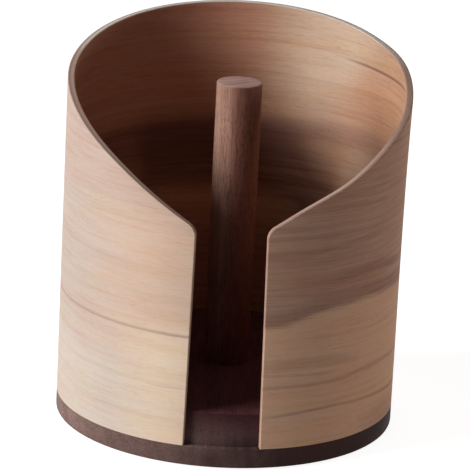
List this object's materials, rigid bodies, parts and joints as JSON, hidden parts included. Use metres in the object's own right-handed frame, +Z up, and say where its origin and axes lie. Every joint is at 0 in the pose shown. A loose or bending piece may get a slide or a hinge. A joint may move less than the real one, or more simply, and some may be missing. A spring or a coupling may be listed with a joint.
{
  "type": "toilet roll storage holder",
  "caption": "Upright holder for spare toilet rolls: a round walnut base, a thin bent plywood shell with a sloping rim and a front slot, and a central dowel that the rolls drop over.",
  "frame": {"origin": "on the ground, under the middle of the base, on the dowel's axis", "axes": "+Z up along the dowel; the slot in the shell faces -Y and the high back of the rim is at +Y"},
  "size_m": [0.15, 0.15, 0.172],
  "materials": {
    "walnut_base": "oiled walnut, satin",
    "walnut_dowel": "oiled walnut, satin",
    "outer_face": "pale veneer, grain round the shell, matt oil",
    "core": "cross-laid core ply, sanded edge",
    "inner_face": "pale veneer, grain round the shell, matt oil",
    "screw_steel": "zinc plated",
    "pad_rubber": "matt soft rubber"
  },
  "bodies": {
    "root": {"base_disc": "walnut_base", "dowel": "walnut_dowel", "dowel_screw": "screw_steel", "outer_veneer": "outer_face", "core_ply": "core", "inner_veneer": "inner_face", "base_pads": "pad_rubber"}
  },
  "joints": []
}
